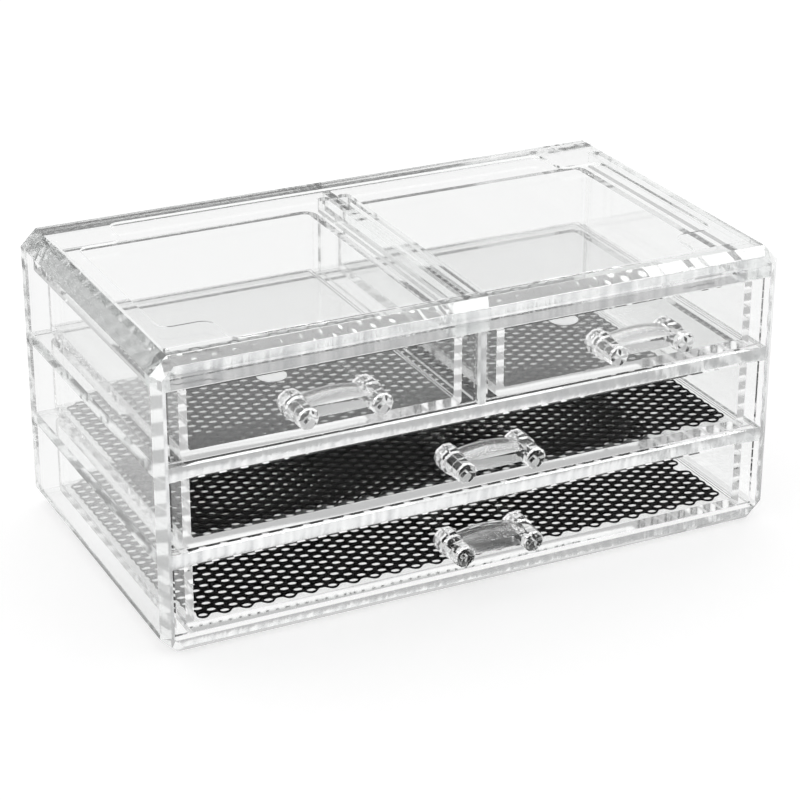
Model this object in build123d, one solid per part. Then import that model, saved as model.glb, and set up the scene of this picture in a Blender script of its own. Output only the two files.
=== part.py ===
from build123d import *
import os
from math import asin, degrees

os.makedirs("parts", exist_ok=True)

# A clear jewellery box with two small drawers above two wide ones.
# Width runs along X, depth along Y with the back at +Y, and height along Z.
# The origin is the middle of the underside. All lengths are in millimetres.

# Case outline
case_width = 238.0
case_depth = 131.0
edge_cut = 6.0
front_bevel = 3.0

# Case panels, from the underside up
base_thick = 5.9
bay_height = 26.6
shelf_thick = 5.3
header_height = 4.7
top_thick = 7.0
side_thick = 4.2
back_thick = 3.5
divider_thick = 3.2
glue_film = 0.05

# Shelf fronts stand a little behind the rim and flare out to it at their ends
shelf_setback = 0.6
shelf_flare = 5.0
shelf_edge_bevel = 0.6

# Header bar and guide rails under the top
header_depth = 14.0
rail_width = 5.0
rail_back_gap = 5.0
rail_nose_share = 0.48

# Stacking recess in the top: a rectangle whose corners step in
recess_side_margin = 12.5
recess_front_margin = 7.0
recess_back_margin = 7.0
recess_notch_width = 17.5
recess_notch_depth = 18.0
recess_corner_radius = 4.5
recess_sink = 0.9

# Drawers
face_setback = 1.8
front_thick = 3.0
front_edge_bevel = 0.5
front_side_gap = 0.8
front_inner_gap = 0.4
drawer_lift = 0.2
drawer_head_gap = 0.4
front_overhang = 4.6
tray_wall = 3.0
tray_floor = 3.0
tray_back_gap = 1.0
tray_wall_drop = 0.8
tray_corner_radius = 2.0
tray_cove_radius = 1.0
tray_foot_bevel = 0.8

# Handles: two cut posts joined by a crowned and arched bow
post_spacing = 26.6
post_rise = 1.5
post_sides = 10
post_rear_radius = 4.7
post_rear_length = 7.2
post_front_radius = 4.0
post_front_length = 8.6
post_rim_bevel = 0.6
spigot_radius = 2.5
spigot_length = 2.6
spigot_clearance = 0.2
bow_width = 13.4
bow_end_width = 9.0
bow_stock_width = 16.0
bow_back_gap = 1.3
bow_over = 0.7
bow_under = 1.2
bow_crown = 2.7
bow_rise = 2.1
bow_under_rise = 0.7

# Net pads on the floors of the two wide drawers
net_thick = 0.7
net_lift = 0.15
net_side_gap = 1.6
net_front_gap = 0.6
net_back_gap = 1.8
net_short_end = 1.8
net_border = 3.0
net_columns = 11
net_rows = 11
net_gap_width_share = 0.66
net_gap_depth_share = 0.55
net_stagger_share = 0.25
net_ragged = 1.6
net_ragged_shares = (0.0, 0.9, 0.3, 1.0, 0.2, 0.7, 0.1, 0.8, 0.4, 1.0, 0.3, 0.6, 0.0)

# Levels and faces that follow from the sizes above
lower_shelf_z = base_thick + bay_height
middle_bay_z = lower_shelf_z + shelf_thick
upper_shelf_z = middle_bay_z + bay_height
upper_bay_z = upper_shelf_z + shelf_thick
header_z = upper_bay_z + bay_height
top_z = header_z + header_height
case_height = top_z + top_thick
half_width = case_width / 2
half_depth = case_depth / 2
inner_half = half_width - side_thick
inner_back = half_depth - back_thick
panel_half = inner_half - glue_film
panel_back = inner_back - glue_film
face_y = face_setback - half_depth
tray_y = face_y + front_thick
drawer_height = bay_height - drawer_lift - drawer_head_gap


def block(low, high):
    """A box between two corners."""
    size = [b - a for a, b in zip(low, high)]
    return Pos(*low) * Box(*size, align=(Align.MIN, Align.MIN, Align.MIN))


def upright(points):
    """A face in the XZ plane from (x, z) points, facing the front."""
    return Plane.XZ * make_face(Polyline(*points, close=True))


def level(points):
    """A face in the XY plane from (x, y) points."""
    return make_face(Polyline(*points, close=True))


def case_envelope():
    """The whole outside of the case: cut long edges and a bevelled front rim."""
    cut_x = half_width - edge_cut
    cut_z = case_height - edge_cut
    outline = upright([
        (-cut_x, 0), (cut_x, 0), (half_width, edge_cut), (half_width, cut_z),
        (cut_x, case_height), (-cut_x, case_height), (-half_width, cut_z), (-half_width, edge_cut),
    ])
    body = extrude(Pos(0, half_depth, 0) * outline, amount=case_depth)
    rim = body.faces().sort_by(Axis.Y)[0].edges()
    return chamfer(rim, length=front_bevel)


envelope = case_envelope()


def side_panel(sign):
    """A full-height side whose cut edges are part of the envelope."""
    low_x, high_x = sorted((sign * half_width, sign * inner_half))
    return envelope & block((low_x, -half_depth, 0), (high_x, panel_back, case_height))


def recess_outline():
    """The stacking outline, with its four corners stepped in and rounded."""
    x_out = half_width - recess_side_margin
    x_in = x_out - recess_notch_width
    y_front = recess_front_margin - half_depth
    y_back = half_depth - recess_back_margin
    y_front_in = y_front + recess_notch_depth
    y_back_in = y_back - recess_notch_depth
    face = level([
        (-x_in, y_front), (x_in, y_front), (x_in, y_front_in), (x_out, y_front_in),
        (x_out, y_back_in), (x_in, y_back_in), (x_in, y_back), (-x_in, y_back),
        (-x_in, y_back_in), (-x_out, y_back_in), (-x_out, y_front_in), (-x_in, y_front_in),
    ])
    return fillet(face.vertices(), recess_corner_radius)


def top_panel():
    """The thick top between the sides, with the stacking recess sunk in it."""
    low = (-panel_half, -half_depth, top_z)
    plate = envelope & block(low, (panel_half, panel_back, case_height))
    sink = extrude(Pos(0, 0, case_height - recess_sink) * recess_outline(), amount=recess_sink)
    return plate - sink


def base_panel():
    """The floor of the case, between the sides."""
    low = (-panel_half, -half_depth, 0)
    return envelope & block(low, (panel_half, panel_back, base_thick))


def back_panel():
    """A full plate over the ends of all the other panels."""
    low = (-half_width, inner_back, 0)
    return envelope & block(low, (half_width, half_depth, case_height))


def shelf(z):
    """A shelf set a little behind the rim, flared forward to it at both ends."""
    y_end = -half_depth
    y_mid = y_end + shelf_setback
    x_mid = panel_half - shelf_flare
    face = level([
        (-panel_half, y_end), (-x_mid, y_mid), (x_mid, y_mid), (panel_half, y_end),
        (panel_half, panel_back), (-panel_half, panel_back),
    ])
    slab = extrude(Pos(0, 0, z) * face, amount=shelf_thick)
    nose = slab.edges().filter_by(Axis.X).group_by(Axis.Y)[0]
    return chamfer(nose, length=shelf_edge_bevel)


def header():
    """The bar under the front of the top."""
    low = (-panel_half, -half_depth, header_z)
    high = (panel_half, header_depth - half_depth, top_z - glue_film)
    bar = block(low, high)
    nose = bar.edges().filter_by(Axis.X).group_by(Axis.Y)[0].sort_by(Axis.Z)[0]
    return chamfer(nose, length=shelf_edge_bevel)


def guide_rail(x):
    """A bar under the top that keeps a drawer level; its back end is rounded."""
    y_front = header_depth + glue_film - half_depth
    y_back = inner_back - rail_back_gap
    face = level([(x, y_front), (x + rail_width, y_front), (x + rail_width, y_back), (x, y_back)])
    face = fillet(face.vertices().group_by(Axis.Y)[-1], rail_width * rail_nose_share)
    return extrude(Pos(0, 0, header_z) * face, amount=header_height - glue_film)


def centre_divider():
    """The wall between the small drawers, stepped round the header."""
    y_front = shelf_setback - half_depth
    y_step = header_depth + glue_film - half_depth
    low_z = upper_bay_z + glue_film
    step_z = header_z - glue_film
    high_z = top_z - glue_film
    points = [
        (y_front, low_z), (panel_back, low_z), (panel_back, high_z),
        (y_step, high_z), (y_step, step_z), (y_front, step_z),
    ]
    face = Plane.YZ * make_face(Polyline(*points, close=True))
    wall = extrude(Pos(-divider_thick / 2, 0, 0) * face, amount=divider_thick)
    nose = wall.edges().filter_by(Axis.Z).group_by(Axis.Y)[0]
    return chamfer(nose, length=shelf_edge_bevel)


def handle_points(x_left, x_right, bay_z):
    """The middle of a drawer's handle: x and z on the drawer's face."""
    return (x_left + x_right) / 2, bay_z + drawer_lift + drawer_height / 2 + post_rise


def tray(x_left, x_right, z):
    """An open tray: coved inside along the floor, rounded at its back corners."""
    y_back = inner_back - tray_back_gap
    height = drawer_height - tray_wall_drop
    outside = level([(x_left, tray_y), (x_right, tray_y), (x_right, y_back), (x_left, y_back)])
    outside = fillet(outside.vertices().group_by(Axis.Y)[-1], tray_corner_radius + tray_wall)
    shell = extrude(Pos(0, 0, z) * outside, amount=height)
    foot = shell.faces().sort_by(Axis.Z)[0].edges()
    foot = foot.filter_by(lambda e: e.center().Y > tray_y + tray_wall)
    shell = chamfer(foot, length=tray_foot_bevel)
    a = x_left + tray_wall
    b = x_right - tray_wall
    c = y_back - tray_wall
    mouth = face_y
    hollow = level([(a, mouth), (b, mouth), (b, c), (a, c)])
    hollow = fillet(hollow.vertices().group_by(Axis.Y)[-1], tray_corner_radius)
    room = extrude(Pos(0, 0, z + tray_floor) * hollow, amount=height)
    cove = room.faces().sort_by(Axis.Z)[0].edges()
    cove = cove.filter_by(lambda e: e.center().Y > mouth + tray_wall)
    room = fillet(cove, tray_cove_radius)
    return shell - room


def drawer(x_left, x_right, bay_z):
    """One moulding: a tray with a front plate that overhangs it on both sides."""
    z = bay_z + drawer_lift
    plate = block((x_left, face_y, z), (x_right, tray_y, z + drawer_height))
    rim = plate.faces().sort_by(Axis.Y)[0].edges()
    plate = chamfer(rim, length=front_edge_bevel)
    body = plate + tray(x_left + front_overhang, x_right - front_overhang, z)
    x_mid, z_mid = handle_points(x_left, x_right, bay_z)
    hole = Plane.XZ * Circle(spigot_radius + spigot_clearance)
    for x in (x_mid - post_spacing / 2, x_mid + post_spacing / 2):
        body = body - extrude(Pos(x, tray_y, z_mid) * hole, amount=front_thick)
    return body


def post(x, z):
    """A cut post: a wide rear part, a narrower front part, and a spigot."""
    foot_y = face_y - glue_film
    step_y = foot_y - post_rear_length
    rear = Plane.XZ * RegularPolygon(post_rear_radius, post_sides)
    front = Plane.XZ * RegularPolygon(post_front_radius, post_sides)
    rear = extrude(Pos(x, foot_y, z) * rear, amount=post_rear_length)
    rear = chamfer(rear.faces().sort_by(Axis.Y)[0].edges(), length=post_rim_bevel)
    front = extrude(Pos(x, step_y, z) * front, amount=post_front_length)
    front = chamfer(front.faces().sort_by(Axis.Y)[0].edges(), length=post_rim_bevel)
    spigot = Plane.XZ * Circle(spigot_radius)
    spigot = extrude(Pos(x, foot_y + spigot_length, z) * spigot, amount=spigot_length)
    return rear + front + spigot


def arch_radius(rise):
    """The radius of an arch that spans the posts and rises by this much."""
    half = post_spacing / 2
    return (half ** 2 + rise ** 2) / (2 * rise)


def leaf_outline():
    """The bow seen from above: a leaf that is widest between the posts."""
    half = post_spacing / 2
    w = bow_width / 2
    e = bow_end_width / 2
    front = ThreePointArc((-half, -e), (0, -w), (half, -e))
    back = ThreePointArc((half, e), (0, w), (-half, e))
    return make_face([front, Line((half, -e), (half, e)), back, Line((-half, e), (-half, -e))])


def bow(x, z):
    """The leaf between the posts: crowned across, arched along, and hollowed beneath."""
    y = face_y - glue_film - bow_back_gap - bow_width / 2
    w = bow_stock_width / 2
    low = -bow_under - bow_rise
    crown = ThreePointArc((w, bow_over), (0, bow_over + bow_crown), (-w, bow_over))
    rest = Polyline((-w, bow_over), (-w, low), (w, low), (w, bow_over))
    section = Plane.YZ * make_face([crown, rest])
    radius = arch_radius(bow_rise)
    spin = Axis((x, y, z + bow_over + bow_rise - radius), (0, 1, 0))
    sweep_angle = 2 * degrees(asin(post_spacing / 2 / radius))
    strip = revolve(Pos(x, y, z + bow_rise) * section, axis=spin, revolution_arc=sweep_angle)
    strip = strip.rotate(spin, -sweep_angle / 2)
    reach = bow_over + bow_under + bow_crown + bow_rise
    leaf = extrude(Pos(x, y, z) * leaf_outline(), amount=reach, both=True)
    under = arch_radius(bow_under_rise)
    hollow = Plane.XZ * Circle(under)
    hollow = Pos(x, y, z - bow_under + bow_under_rise - under) * hollow
    return (strip & leaf) - extrude(hollow, amount=bow_stock_width, both=True)


def handle(x_left, x_right, bay_z):
    """Two posts and the bow as one moulding, glued to the drawer by its spigots."""
    x, z = handle_points(x_left, x_right, bay_z)
    half = post_spacing / 2
    return post(x - half, z) + post(x + half, z) + bow(x, z)


def net(x_left, x_right, bay_z):
    """A flat net cut short at its right end, as one holed face."""
    z = bay_z + drawer_lift + tray_floor + net_lift
    a = x_left + front_overhang + tray_wall + net_side_gap
    b = x_right - front_overhang - tray_wall - net_short_end
    c = tray_y + net_front_gap
    d = inner_back - tray_back_gap - tray_wall - net_back_gap
    steps = len(net_ragged_shares) - 1
    edge = []
    for i, share in enumerate(net_ragged_shares):
        edge.append((b - net_ragged * share, c + (d - c) * i / steps))
    sheet = level([(a, c)] + edge + [(a, d)])
    pitch_x = (b - a - net_ragged - 2 * net_border) / (net_columns + net_stagger_share * 2)
    pitch_y = (d - c - 2 * net_border) / net_rows
    gap_x = pitch_x * net_gap_width_share
    gap_y = pitch_y * net_gap_depth_share
    slot = Rectangle(gap_x, gap_y)
    slots = []
    for row in range(net_rows):
        shift = net_stagger_share * (1 + (-1) ** row)
        y = c + net_border + (row + 0.5) * pitch_y
        for column in range(net_columns):
            x = a + net_border + (column + 0.5 + shift) * pitch_x
            slots.append(Pos(x, y) * slot)
    sheet = sheet - slots
    return extrude(Pos(0, 0, z) * sheet, amount=net_thick)


# Drawer fronts: two share the upper bay, the others span the case
wide = inner_half - front_side_gap
inner_edge = divider_thick / 2 + front_inner_gap
drawers = {
    "top_left": (-wide, -inner_edge, upper_bay_z),
    "top_right": (inner_edge, wide, upper_bay_z),
    "middle": (-wide, wide, middle_bay_z),
    "bottom": (-wide, wide, base_thick),
}

shapes = {
    "left_side_panel": side_panel(-1),
    "right_side_panel": side_panel(1),
    "back_panel": back_panel(),
    "base_panel": base_panel(),
    "lower_shelf": shelf(lower_shelf_z),
    "upper_shelf": shelf(upper_shelf_z),
    "centre_divider": centre_divider(),
    "front_header": header(),
    "top_panel": top_panel(),
    "left_side_rail": guide_rail(-panel_half),
    "left_divider_rail": guide_rail(-divider_thick / 2 - glue_film - rail_width),
    "right_divider_rail": guide_rail(divider_thick / 2 + glue_film),
    "right_side_rail": guide_rail(panel_half - rail_width),
}
for name, place in drawers.items():
    shapes[name + "_drawer"] = drawer(*place)
    shapes[name + "_handle"] = handle(*place)
for name in ("middle", "bottom"):
    shapes[name + "_net_pad"] = net(*drawers[name])

for node, shape in shapes.items():
    export_step(shape, "parts/" + node + ".step")
    print(node, round(shape.volume), len(shape.faces()))
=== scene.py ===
# %% [markdown]
# # A clear jewellery box with black net pads
# The box is a case of thick clear plastic panels with four clear drawers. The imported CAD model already
# has every panel, tray and handle at its real size, so this lesson only dresses it: clear plastic for
# the rigid pieces, a fine net in place of the two plain pads, and a white studio to look through.

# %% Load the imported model
import math
import random

import bmesh
import bpy
from mathutils import Matrix, Vector


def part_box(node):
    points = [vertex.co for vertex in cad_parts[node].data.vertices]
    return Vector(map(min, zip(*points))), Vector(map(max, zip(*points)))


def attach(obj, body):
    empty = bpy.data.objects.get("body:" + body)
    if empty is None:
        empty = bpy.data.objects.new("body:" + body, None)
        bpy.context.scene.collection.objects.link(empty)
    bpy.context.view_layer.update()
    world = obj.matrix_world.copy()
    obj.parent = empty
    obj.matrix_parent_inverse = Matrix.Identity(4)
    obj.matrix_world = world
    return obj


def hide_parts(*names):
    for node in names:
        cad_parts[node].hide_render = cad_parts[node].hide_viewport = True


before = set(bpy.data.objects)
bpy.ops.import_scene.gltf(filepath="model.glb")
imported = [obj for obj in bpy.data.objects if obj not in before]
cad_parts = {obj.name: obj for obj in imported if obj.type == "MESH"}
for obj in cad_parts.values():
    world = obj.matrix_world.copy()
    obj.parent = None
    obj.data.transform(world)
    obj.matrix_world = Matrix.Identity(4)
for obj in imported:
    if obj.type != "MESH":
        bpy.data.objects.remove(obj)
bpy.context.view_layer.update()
MM = 0.001

# %% [markdown]
# ## Clear plastic
# Polished clear plastic is hard to paint and easy to describe: almost all light goes through it, a little
# is reflected, and the bending at each face draws the bright and dark lines along the edges. A moulded
# face is never perfectly flat, so a slow noise tilts it very slightly, and handling leaves faint
# haze, so a second, finer noise moves the roughness. Both read Object coordinates, which fit every piece.

# %% A material with only a shader in it
def bare_material(name):
    material = bpy.data.materials.new(name)
    material.use_nodes = True
    tree = material.node_tree
    tree.nodes.clear()
    output = tree.nodes.new("ShaderNodeOutputMaterial")
    shader = tree.nodes.new("ShaderNodeBsdfPrincipled")
    tree.links.new(shader.outputs["BSDF"], output.inputs["Surface"])
    return material, tree, shader


print("materials before any finish is made:", len(bpy.data.materials))

# %% Noise, ramps and bumps
EVEN = (1.0, 1.0, 1.0)
NOISE_LOW, NOISE_HIGH = 0.35, 0.65


def noise(tree, scale, detail, stretch=EVEN):
    place = tree.nodes.new("ShaderNodeTexCoord")
    turn = tree.nodes.new("ShaderNodeMapping")
    turn.inputs["Scale"].default_value = stretch
    grain = tree.nodes.new("ShaderNodeTexNoise")
    grain.inputs["Scale"].default_value = scale
    grain.inputs["Detail"].default_value = detail
    tree.links.new(place.outputs["Object"], turn.inputs["Vector"])
    tree.links.new(turn.outputs["Vector"], grain.inputs["Vector"])
    return grain.outputs["Fac"]


def fade(tree, source, start, end, low, high):
    ramp = tree.nodes.new("ShaderNodeMapRange")
    ramp.inputs["From Min"].default_value = start
    ramp.inputs["From Max"].default_value = end
    ramp.inputs["To Min"].default_value = low
    ramp.inputs["To Max"].default_value = high
    tree.links.new(source, ramp.inputs["Value"])
    return ramp.outputs["Result"]


def spread(tree, grain, low, high):
    return fade(tree, grain, NOISE_LOW, NOISE_HIGH, low, high)


def bumps(tree, height, depth, strength=1.0):
    bump = tree.nodes.new("ShaderNodeBump")
    bump.inputs["Strength"].default_value = strength
    bump.inputs["Distance"].default_value = depth
    tree.links.new(height, bump.inputs["Height"])
    return bump


print("a noise is read from", NOISE_LOW, "to", NOISE_HIGH)

# %% Clear plastic with a ripple and a haze
CLEAR_TINT = (0.997, 0.999, 0.998)
PLASTIC_IOR = 1.49
RIPPLE_SCALE, RIPPLE_DETAIL = 26.0, 1.0
HAZE_SCALE, HAZE_DETAIL = 420.0, 4.0
WIPED = (1.0, 0.25, 1.0)
SHEET_HAZE, SHEET_MIRROR = 0.03, 0.1


def clear_plastic(name, ripple, haze, mirror, grain=EVEN, ior=PLASTIC_IOR):
    material, tree, shader = bare_material(name)
    shader.inputs["Base Color"].default_value = (*CLEAR_TINT, 1.0)
    shader.inputs["Transmission Weight"].default_value = 1.0
    shader.inputs["IOR"].default_value = ior
    shader.inputs["Specular Tint"].default_value = (mirror, mirror, mirror, 1.0)
    slow = noise(tree, RIPPLE_SCALE, RIPPLE_DETAIL, grain)
    fine = noise(tree, HAZE_SCALE, HAZE_DETAIL, WIPED)
    tree.links.new(spread(tree, fine, 0.0, haze), shader.inputs["Roughness"])
    bump = bumps(tree, slow, ripple)
    tree.links.new(bump.outputs["Normal"], shader.inputs["Normal"])
    return material, tree, shader, bump


drawer_clear = clear_plastic("drawer_clear_plastic", ripple=0.06 * MM, haze=SHEET_HAZE,
                             mirror=SHEET_MIRROR)[0]
print("drawer finish:", drawer_clear.name)

# %% [markdown]
# ## Handles with a matt underside
# A handle is moulded in one piece and polished where it shows. The underside of its bow keeps the dull
# face of the mould, which softens what shows through it. A mask made from the outward normal finds the
# faces that look straight down: inside the plastic the normal is turned round, so it is turned back.

# %% Masks
def below(tree, source, limit):
    test = tree.nodes.new("ShaderNodeMath")
    test.operation = "LESS_THAN"
    test.inputs[1].default_value = limit
    tree.links.new(source, test.inputs[0])
    return test.outputs["Value"]


def join(tree, operation, first, second):
    result = tree.nodes.new("ShaderNodeMath")
    result.operation = operation
    tree.links.new(first, result.inputs[0])
    tree.links.new(second, result.inputs[1])
    return result.outputs["Value"]


def rougher(tree, shader, mask, amount):
    add = tree.nodes.new("ShaderNodeMath")
    add.operation = "MULTIPLY_ADD"
    add.inputs[1].default_value = amount
    tree.links.new(mask, add.inputs[0])
    tree.links.new(shader.inputs["Roughness"].links[0].from_socket, add.inputs[2])
    tree.links.new(add.outputs["Value"], shader.inputs["Roughness"])


def split(tree, source):
    axes = tree.nodes.new("ShaderNodeSeparateXYZ")
    tree.links.new(source, axes.inputs["Vector"])
    return axes.outputs


print("masks read the normal and the place")

# %% Handle plastic
HANDLE_IOR = 1.59
DOWNWARD = -0.98
MATT = 0.12


def handle_plastic():
    material, tree, shader, _ = clear_plastic("handle_clear_plastic", ripple=0.02 * MM, haze=0.015,
                                              mirror=1.0, ior=HANDLE_IOR)
    face = tree.nodes.new("ShaderNodeNewGeometry")
    upward = split(tree, face.outputs["True Normal"])["Z"]
    side = fade(tree, face.outputs["Backfacing"], 0.0, 1.0, 1.0, -1.0)
    underside = below(tree, join(tree, "MULTIPLY", upward, side), DOWNWARD)
    rougher(tree, shader, underside, MATT)
    return material


handle_clear = handle_plastic()
print("handle finish:", handle_clear.name)

# %% [markdown]
# ## Sawn edges
# The case is glued up from sawn sheet. Its broad faces are polished, but the edges that face the front
# still show the saw: fine upright ticks that catch the light and make the shelf edges look grey. The
# bevel round the front rim is polished with a flame, so it mirrors the light most. The same plastic is
# used, and masks made from the normal find the faces that look straight ahead and those that slant.

# %% Case plastic with sawn front edges
WHITE = (1.0, 1.0, 1.0, 1.0)
ROLLED = (1.0, 0.12, 1.0)
AHEAD, ASLANT = -0.95, -0.6
FRONT_ZONE = -60.0 * MM
TICK_SCALE, TICK_DETAIL = 330.0, 3.0
UPRIGHT = (1.0, 0.05, 0.08)
SAWN_TINT = (0.60, 0.61, 0.62, 1.0)
SAWN_FROST = 0.15
SAWN_DEPTH = 0.12 * MM


def two_tints(tree, mask, outside, inside):
    tint = tree.nodes.new("ShaderNodeMix")
    tint.data_type = "RGBA"
    tint.inputs["A"].default_value = outside
    tint.inputs["B"].default_value = inside
    tree.links.new(mask, tint.inputs["Factor"])
    return tint.outputs["Result"]


def case_plastic():
    material, tree, shader, bump = clear_plastic("case_clear_plastic", ripple=0.05 * MM, haze=SHEET_HAZE,
                                                 mirror=SHEET_MIRROR, grain=ROLLED)
    place = tree.nodes.new("ShaderNodeTexCoord")
    facing = split(tree, place.outputs["Normal"])["Y"]
    ahead = below(tree, facing, AHEAD)
    bevel = join(tree, "SUBTRACT", below(tree, facing, ASLANT), ahead)
    shine = two_tints(tree, bevel, (SHEET_MIRROR, SHEET_MIRROR, SHEET_MIRROR, 1.0), WHITE)
    tree.links.new(shine, shader.inputs["Specular Tint"])
    in_front = below(tree, split(tree, place.outputs["Object"])["Y"], FRONT_ZONE)
    ticks = spread(tree, noise(tree, TICK_SCALE, TICK_DETAIL, UPRIGHT), 0.0, 1.0)
    sawn = join(tree, "MULTIPLY", ticks, join(tree, "MULTIPLY", ahead, in_front))
    tree.links.new(two_tints(tree, sawn, (*CLEAR_TINT, 1.0), SAWN_TINT), shader.inputs["Base Color"])
    rougher(tree, shader, sawn, SAWN_FROST)
    cuts = bumps(tree, sawn, SAWN_DEPTH)
    tree.links.new(bump.outputs["Normal"], cuts.inputs["Normal"])
    tree.links.new(cuts.outputs["Normal"], shader.inputs["Normal"])
    return material


case_clear = case_plastic()
print("case finish:", case_clear.name)

# %% Give each CAD node its finish
def dress(node, material):
    node.data.materials.clear()
    node.data.materials.append(material)


for name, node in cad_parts.items():
    if name.endswith("_handle"):
        dress(node, handle_clear)
    elif name.endswith("_drawer"):
        dress(node, drawer_clear)
    else:
        dress(node, case_clear)
print("dressed", len(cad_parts), "nodes")

# %% [markdown]
# ## Glue seams
# The panels are joined with a thin solvent that melts them together, so light crosses a joint as if it were
# not there. In the CAD model a hair of air is left at each joint, and air would turn every joint into a
# mirror. A very thin plate laid in each joint, a touch thicker than the gap, lets the light across again.

# %% A plate in the joint between two panels
X, Y, Z = 0, 1, 2
SEAM_LAP = 0.02 * MM
SEAM_INSET = 0.15 * MM


def seam(shape, first, second, axis, front=None):
    a_low, a_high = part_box(first)
    b_low, b_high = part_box(second)
    low = [max(a, b) + SEAM_INSET for a, b in zip(a_low, b_low)]
    high = [min(a, b) - SEAM_INSET for a, b in zip(a_high, b_high)]
    low[axis] = a_high[axis] - SEAM_LAP
    high[axis] = b_low[axis] + SEAM_LAP
    if front is not None:
        low[Y] = max(low[Y], front)
    size = [b - a for a, b in zip(low, high)]
    middle = [(a + b) / 2 for a, b in zip(low, high)]
    plate = bmesh.ops.create_cube(shape, size=1.0)["verts"]
    bmesh.ops.scale(shape, verts=plate, vec=size)
    bmesh.ops.translate(shape, verts=plate, vec=middle)


def piece(name, shape, material):
    mesh = bpy.data.meshes.new(name)
    shape.to_mesh(mesh)
    shape.free()
    mesh.materials.append(material)
    made = bpy.data.objects.new(name, mesh)
    bpy.context.scene.collection.objects.link(made)
    return made


print("a seam laps each panel by", SEAM_LAP / MM, "mm")

# %% Every joint of the case
FRONT_BEVEL = 3.2 * MM
PLATE_FACES = 6
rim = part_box("top_panel")[0][Y] + FRONT_BEVEL
behind_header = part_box("front_header")[1][Y] + SEAM_INSET
seams = bmesh.new()
for name in ("base_panel", "lower_shelf", "upper_shelf", "front_header", "top_panel"):
    front = rim if name in ("base_panel", "top_panel") else None
    seam(seams, "left_side_panel", name, X, front)
    seam(seams, name, "right_side_panel", X, front)
seam(seams, "left_side_panel", "left_side_rail", X)
seam(seams, "left_divider_rail", "centre_divider", X)
seam(seams, "centre_divider", "right_divider_rail", X)
seam(seams, "right_side_rail", "right_side_panel", X)
for name in ("base_panel", "lower_shelf", "upper_shelf", "centre_divider", "top_panel"):
    seam(seams, name, "back_panel", Y)
for name in ("left_side_rail", "left_divider_rail", "right_divider_rail", "right_side_rail"):
    seam(seams, "front_header", name, Y)
    seam(seams, name, "top_panel", Z)
seam(seams, "upper_shelf", "centre_divider", Z)
seam(seams, "centre_divider", "top_panel", Z, behind_header)
seam(seams, "front_header", "top_panel", Z, rim)
glue = piece("glue_seams", seams, drawer_clear)
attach(glue, "case")
print("glue seams:", len(glue.data.polygons) // PLATE_FACES)

# %% [markdown]
# ## Gate marks
# Each small drawer is moulded through one point in its floor, and the mould leaves a round, dull, slightly
# raised mark there. The mark gets a painted glow, a faint white light of its own, in place of the light that
# runs along inside the floor and comes out at such a dull spot, so it looks pale.
# A low cone with its point cut off is enough, a tenth of a millimetre high, its foot sunk a hair into the
# floor.

# %% Dull plastic with a painted glow
DULL_TINT = (0.90, 0.91, 0.91, 1.0)
PAINTED_GLOW = 0.4
DULL_SCALE, DULL_DETAIL = 900.0, 3.0
DULL_ROUGH = (0.45, 0.7)
DULL_DEPTH = 0.03 * MM


def dull_plastic_with_painted_glow():
    material, tree, shader = bare_material("dull_gate_plastic_with_painted_glow")
    shader.inputs["Base Color"].default_value = DULL_TINT
    # Painted glow: a faint white emission makes the mark shine though it is no lamp.
    shader.inputs["Emission Color"].default_value = WHITE
    shader.inputs["Emission Strength"].default_value = PAINTED_GLOW
    grain = noise(tree, DULL_SCALE, DULL_DETAIL)
    tree.links.new(spread(tree, grain, *DULL_ROUGH), shader.inputs["Roughness"])
    tree.links.new(bumps(tree, grain, DULL_DEPTH).outputs["Normal"], shader.inputs["Normal"])
    return material


gate_plastic_with_painted_glow = dull_plastic_with_painted_glow()
print("gate finish:", gate_plastic_with_painted_glow.name)

# %% A mark in each small drawer
GATE_RADIUS, GATE_SIDES = 5.4 * MM, 48
GATE_HEIGHT, GATE_SINK = 0.12 * MM, 0.01 * MM
GATE_PLACE = -17.0 * MM
TRAY_FLOOR = 3.0 * MM
for name in ("top_left", "top_right"):
    low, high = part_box(name + "_drawer")
    mark = bmesh.new()
    bmesh.ops.create_cone(mark, cap_ends=True, segments=GATE_SIDES, radius1=GATE_RADIUS,
                          radius2=GATE_RADIUS - GATE_HEIGHT, depth=GATE_HEIGHT)
    middle = ((low[X] + high[X]) / 2, GATE_PLACE, low[Z] + TRAY_FLOOR + GATE_HEIGHT / 2 - GATE_SINK)
    bmesh.ops.translate(mark, verts=mark.verts[:], vec=middle)
    gate = piece(name + "_gate_mark", mark, gate_plastic_with_painted_glow)
    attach(gate, name + "_drawer")
    print(gate.name, round(2 * GATE_RADIUS / MM, 1), "mm across")

# %% [markdown]
# ## The net pads
# The lining is a sheet of black foamed net: soft strands that part and meet again round six-sided gaps, like
# a honeycomb. One cell is repeated along a column, two columns are repeated across the pad, and shared
# corners are merged. Insetting every cell leaves the strands, and deleting the middles opens the gaps. The
# cells are inset while the sheet is squashed in depth, and pulling it out again makes the gaps long and
# low. A wall gives the strands their thickness, and one level of subdivision rounds them.

# %% Black foamed net
FOAM_SCALE, FOAM_DETAIL = 2600.0, 3.0
PATCH_SCALE, PATCH_DETAIL = 90.0, 2.0
DARK_FOAM, WORN_FOAM = (0.006, 0.006, 0.007, 1.0), (0.022, 0.022, 0.024, 1.0)
FOAM_SHINE = 0.12
FOAM_ROUGH = (0.55, 0.8)
FOAM_DEPTH, FOAM_STRENGTH = 0.12 * MM, 0.8


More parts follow.
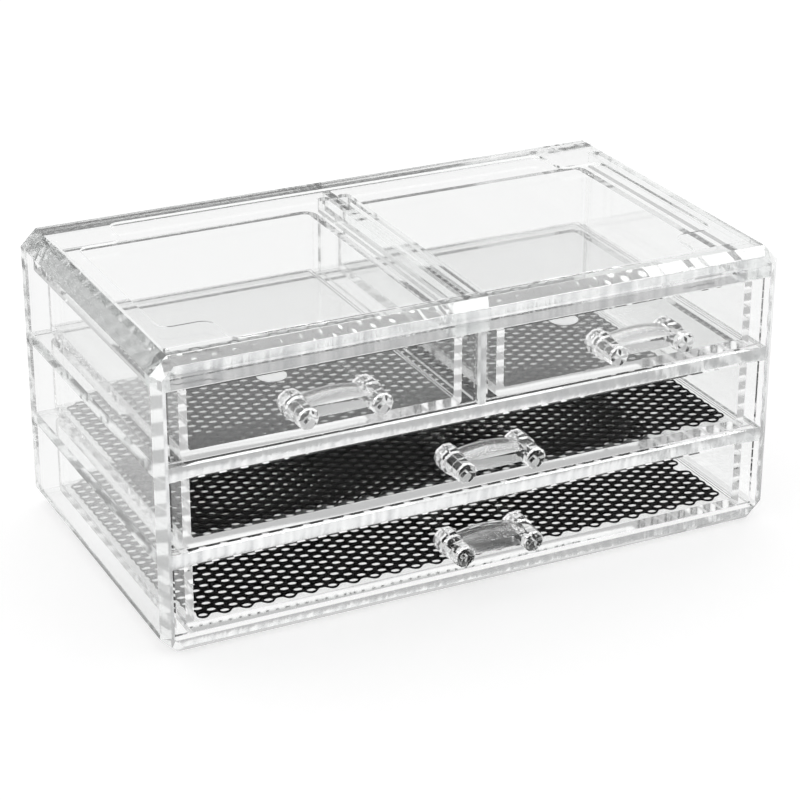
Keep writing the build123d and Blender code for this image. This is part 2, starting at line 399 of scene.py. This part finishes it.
def net_material():
    material, tree, shader = bare_material("black_foamed_net")
    shader.inputs["Specular IOR Level"].default_value = FOAM_SHINE
    cells = noise(tree, FOAM_SCALE, FOAM_DETAIL)
    patches = noise(tree, PATCH_SCALE, PATCH_DETAIL)
    shade = tree.nodes.new("ShaderNodeValToRGB")
    shade.color_ramp.elements[0].color = DARK_FOAM
    shade.color_ramp.elements[1].color = WORN_FOAM
    tree.links.new(patches, shade.inputs["Fac"])
    tree.links.new(shade.outputs["Color"], shader.inputs["Base Color"])
    tree.links.new(spread(tree, cells, *FOAM_ROUGH), shader.inputs["Roughness"])
    bump = bumps(tree, cells, FOAM_DEPTH, FOAM_STRENGTH)
    tree.links.new(bump.outputs["Normal"], shader.inputs["Normal"])
    return material


black_net = net_material()
print("net finish:", black_net.name)

# %% A honeycomb from one six-sided cell
CELL_WIDE, CELL_DEEP = 5.4 * MM, 4.7 * MM
CELL_SIDES = 6
COLUMN_SHARE = 0.75
GAP_SQUASH = 2.4
MERGE = 0.1 * MM


def repeat(shape, shift, times):
    bmesh.ops.spin(shape, geom=shape.verts[:] + shape.edges[:] + shape.faces[:], cent=(0, 0, 0),
                   axis=(0, 0, 1), dvec=shift, angle=0.0, steps=times, use_duplicate=True)


def honeycomb(low, high):
    wide, deep = high.x - low.x, high.y - low.y
    rows = round(deep / CELL_DEEP - 0.5)
    pairs = round((wide / CELL_WIDE - 1) / (2 * COLUMN_SHARE) + 0.5)
    cell_x = wide / ((2 * pairs - 1) * COLUMN_SHARE + 1)
    cell_y = deep / (rows + 0.5) / GAP_SQUASH
    step_x = cell_x * COLUMN_SHARE
    comb = bmesh.new()
    cell = bmesh.ops.create_circle(comb, cap_ends=True, segments=CELL_SIDES, radius=1.0)["verts"]
    bmesh.ops.rotate(comb, verts=cell, matrix=Matrix.Rotation(math.pi / 2, 3, "Z"))
    bmesh.ops.scale(comb, verts=cell, vec=(cell_x / 2, cell_y / math.sqrt(3), 1.0))
    bmesh.ops.translate(comb, verts=cell, vec=(low.x + cell_x / 2, low.y + cell_y / 2, 0))
    repeat(comb, (0, cell_y, 0), rows - 1)
    column = comb.verts[:] + comb.edges[:] + comb.faces[:]
    copy = bmesh.ops.duplicate(comb, geom=column)["geom"]
    shifted = [g for g in copy if isinstance(g, bmesh.types.BMVert)]
    bmesh.ops.translate(comb, verts=shifted, vec=(step_x, cell_y / 2, 0))
    repeat(comb, (2 * step_x, 0, 0), pairs - 1)
    bmesh.ops.remove_doubles(comb, verts=comb.verts[:], dist=MERGE)
    return comb, cell_x, 2 * pairs, rows


print("net cell", round(CELL_WIDE / MM, 2), "by", round(CELL_DEEP / MM, 2), "mm")

# %% Strands from the honeycomb
STRAND = 0.55 * MM
NET_THICK = 0.68 * MM
TORN_SHARE = 0.25


def net_sheet(low, high, seed):
    net, cell_x, columns, rows = honeycomb(low, high)
    tear = random.Random(seed)
    frayed = high.x - cell_x
    torn = [f for f in net.faces if f.calc_center_median().x > frayed and tear.random() < TORN_SHARE]
    bmesh.ops.delete(net, geom=torn, context="FACES")
    rings = bmesh.ops.inset_individual(net, faces=net.faces[:], thickness=STRAND, use_even_offset=True)
    strands = set(rings["faces"])
    bmesh.ops.scale(net, verts=net.verts[:], vec=(1.0, GAP_SQUASH, 1.0),
                    space=Matrix.Translation((0, -low.y, 0)))
    bmesh.ops.delete(net, geom=[f for f in net.faces if f not in strands], context="FACES")
    bmesh.ops.recalc_face_normals(net, faces=net.faces[:])
    bmesh.ops.solidify(net, geom=net.faces[:], thickness=NET_THICK)
    bmesh.ops.recalc_face_normals(net, faces=net.faces[:])
    lowest = min(v.co.z for v in net.verts)
    bmesh.ops.translate(net, verts=net.verts[:], vec=(0, 0, low.z - lowest))
    for face in net.faces:
        face.smooth = True
    return net, columns, rows


print("each cell is inset by", round(STRAND / MM, 2), "mm")

# %% Lay a pad in each wide drawer
for seed, name in enumerate(("middle", "bottom")):
    node = name + "_net_pad"
    low, high = (Vector(corner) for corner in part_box(node))
    net, columns, rows = net_sheet(low, high, seed)
    pad = piece(name + "_net", net, black_net)
    soft = pad.modifiers.new("rounded strands", "SUBSURF")
    soft.levels = soft.render_levels = 1
    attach(pad, name + "_drawer")
    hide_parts(node)
    print(pad.name, columns, "by", rows, "gaps,", len(pad.data.polygons), "faces")

# %% [markdown]
# ## White floor
# The box stands on white paper. Clear plastic shows only what is around it, so the paper is given a plain
# white for the rays that pass through the plastic, a painted shade for mirror rays, dark in front of the box
# and pale behind, and its own shading with the box's soft shadow for the camera. It lies a hair below the
# box, so that no two faces fall together.

# %% Floor
PAPER_TINT = (0.45, 0.45, 0.45, 1.0)
PAPER_ROUGH, PAPER_GLOW = 0.9, 0.72
FLOOR_SIZE = 6.0
FLOOR_DROP = 0.3 * MM
paper, tree, shader = bare_material("white_paper")
shader.inputs["Base Color"].default_value = PAPER_TINT
shader.inputs["Roughness"].default_value = PAPER_ROUGH
shader.inputs["Specular IOR Level"].default_value = 0.0
shader.inputs["Emission Color"].default_value = WHITE
shader.inputs["Emission Strength"].default_value = PAPER_GLOW
sheet = bmesh.new()
bmesh.ops.create_grid(sheet, x_segments=1, y_segments=1, size=FLOOR_SIZE / 2)
bmesh.ops.translate(sheet, verts=sheet.verts[:], vec=(0, 0, -FLOOR_DROP))
floor = piece("studio_floor", sheet, paper)
print("floor", FLOOR_SIZE, "m wide")

# %% What each kind of ray sees of the floor
MIRROR_DIM, MIRROR_BRIGHT = 0.08, 0.75
DIM_UNTIL, BRIGHT_FROM = -70.0 * MM, 30.0 * MM


def choose(tree, test, otherwise, chosen):
    mix = tree.nodes.new("ShaderNodeMixShader")
    tree.links.new(test, mix.inputs["Fac"])
    tree.links.new(otherwise, mix.inputs[1])
    tree.links.new(chosen, mix.inputs[2])
    return mix.outputs["Shader"]


place = tree.nodes.new("ShaderNodeTexCoord")
depth = split(tree, place.outputs["Object"])["Y"]
# Painted shade for mirror rays: the floor glows dark in front of the box and pale behind, in place of a dim
# room in front.
painted_mirror_floor = tree.nodes.new("ShaderNodeEmission")
painted_front_shade = fade(tree, depth, DIM_UNTIL, BRIGHT_FROM, MIRROR_DIM, MIRROR_BRIGHT)
tree.links.new(painted_front_shade, painted_mirror_floor.inputs["Strength"])
plain_white = tree.nodes.new("ShaderNodeEmission")
plain_white.inputs["Color"].default_value = WHITE
path = tree.nodes.new("ShaderNodeLightPath")
mirrored = choose(tree, path.outputs["Is Glossy Ray"], shader.outputs["BSDF"],
                  painted_mirror_floor.outputs["Emission"])
through = choose(tree, path.outputs["Is Transmission Ray"], mirrored, plain_white.outputs["Emission"])
paper_output = next(n for n in tree.nodes if n.type == "OUTPUT_MATERIAL")
tree.links.new(through, paper_output.inputs["Surface"])
print("mirror rays see the floor from", MIRROR_DIM, "in front to", MIRROR_BRIGHT, "behind")

# %% [markdown]
# ## Studio light
# A wide soft light hangs overhead, the wall behind the box is pale and the room in front is grey. The grey
# is what the mirror-like faces pick up, so the black nets stay dark under the plastic and the edges get
# their thin dark lines. A softbox high in front is brighter than white paper, as a real one is, but only
# mirror rays find it, so it draws the highlights on the handles and the front bevel and leaves the colours
# alone. Rays that come through the plastic find the wall behind dimmer higher up, because the tray floors
# would mirror it over the nets. The camera itself sees plain white beyond the floor.

# %% World
OVERHEAD = (0.5, 0.8)
FRONT_TO_BACK = (-0.3, 0.3)
HIGHER = (0.15, 0.3)
FRONT_GLOW = 0.22
SOFTBOX_UP, SOFTBOX_BACK = (0.15, 0.4), (-0.1, 0.3)
world = bpy.data.worlds.new("white_studio")
bpy.context.scene.world = world
world.use_nodes = True
tree = world.node_tree
tree.nodes.clear()
output = tree.nodes.new("ShaderNodeOutputWorld")
seen = tree.nodes.new("ShaderNodeBackground")
seen.inputs["Color"].default_value = WHITE
place = tree.nodes.new("ShaderNodeTexCoord")
axes = split(tree, place.outputs["Generated"])


def room(tree, back_glow, high_share, softbox):
    overhead = fade(tree, axes["Z"], *OVERHEAD, 0.0, 1.0)
    behind = fade(tree, axes["Y"], *FRONT_TO_BACK, FRONT_GLOW, back_glow)
    higher = fade(tree, axes["Z"], *HIGHER, 1.0, high_share)
    above = fade(tree, axes["Z"], *SOFTBOX_UP, 0.0, softbox)
    in_front = fade(tree, axes["Y"], *SOFTBOX_BACK, 1.0, 0.0)
    wall = join(tree, "MULTIPLY", behind, higher)
    lamp = join(tree, "MULTIPLY", above, in_front)
    brightness = join(tree, "MAXIMUM", overhead, join(tree, "MAXIMUM", wall, lamp))
    walls = tree.nodes.new("ShaderNodeBackground")
    walls.inputs["Color"].default_value = WHITE
    tree.links.new(brightness, walls.inputs["Strength"])
    return walls.outputs["Background"]


path = tree.nodes.new("ShaderNodeLightPath")
plain = room(tree, back_glow=0.9, high_share=1.0, softbox=0.0)
bright = room(tree, back_glow=0.9, high_share=1.0, softbox=7.0)
behind_plastic = room(tree, back_glow=0.85, high_share=0.65, softbox=0.0)
mirrored = choose(tree, path.outputs["Is Glossy Ray"], plain, bright)
around = choose(tree, path.outputs["Is Transmission Ray"], mirrored, behind_plastic)
picked = choose(tree, path.outputs["Is Camera Ray"], around, seen.outputs["Background"])
tree.links.new(picked, output.inputs["Surface"])
print("world", world.name)

# %% [markdown]
# ## Camera
# The photograph was taken from the front left, a little above the box. The eye point, the three angles and
# the focal length were solved from the corners of the case, so the render can be laid over the photograph.

# %% Camera
AZIMUTH, ELEVATION, ROLL = 26.26, 24.446, 0.176
FOCAL_PX, IMAGE_PX = 2521.5, 800
SENSOR_WIDTH = 36.0
EYE = Vector((-0.37117, -0.75361, 0.42648))
camera_data = bpy.data.cameras.new("photo_camera")
camera_data.sensor_width = SENSOR_WIDTH
camera_data.lens = FOCAL_PX / IMAGE_PX * SENSOR_WIDTH
camera = bpy.data.objects.new("photo_camera", camera_data)
bpy.context.scene.collection.objects.link(camera)
a, e, r = (math.radians(v) for v in (AZIMUTH, ELEVATION, ROLL))
back = Vector((-math.sin(a) * math.cos(e), -math.cos(a) * math.cos(e), math.sin(e)))
right = Vector((0, 0, 1)).cross(back).normalized()
up = back.cross(right)
right_rolled = right * math.cos(r) + up * math.sin(r)
up_rolled = up * math.cos(r) - right * math.sin(r)
turn = Matrix((right_rolled, up_rolled, back)).transposed()
camera.matrix_world = Matrix.Translation(EYE) @ turn.to_4x4()
bpy.context.scene.camera = camera
print("lens", round(camera_data.lens, 1), "mm")

# %% [markdown]
# ## Finish
# Light crosses a dozen faces of plastic before it reaches the nets, so the renderer is allowed many bounces.

# %% Render settings
BOUNCES, CLEAR_BOUNCES = 160, 24
scene = bpy.context.scene
scene.view_settings.view_transform = "Standard"
scene.cycles.max_bounces = BOUNCES
scene.cycles.transmission_bounces = BOUNCES
scene.cycles.glossy_bounces = BOUNCES
scene.cycles.transparent_max_bounces = CLEAR_BOUNCES
print("bounces", scene.cycles.max_bounces)
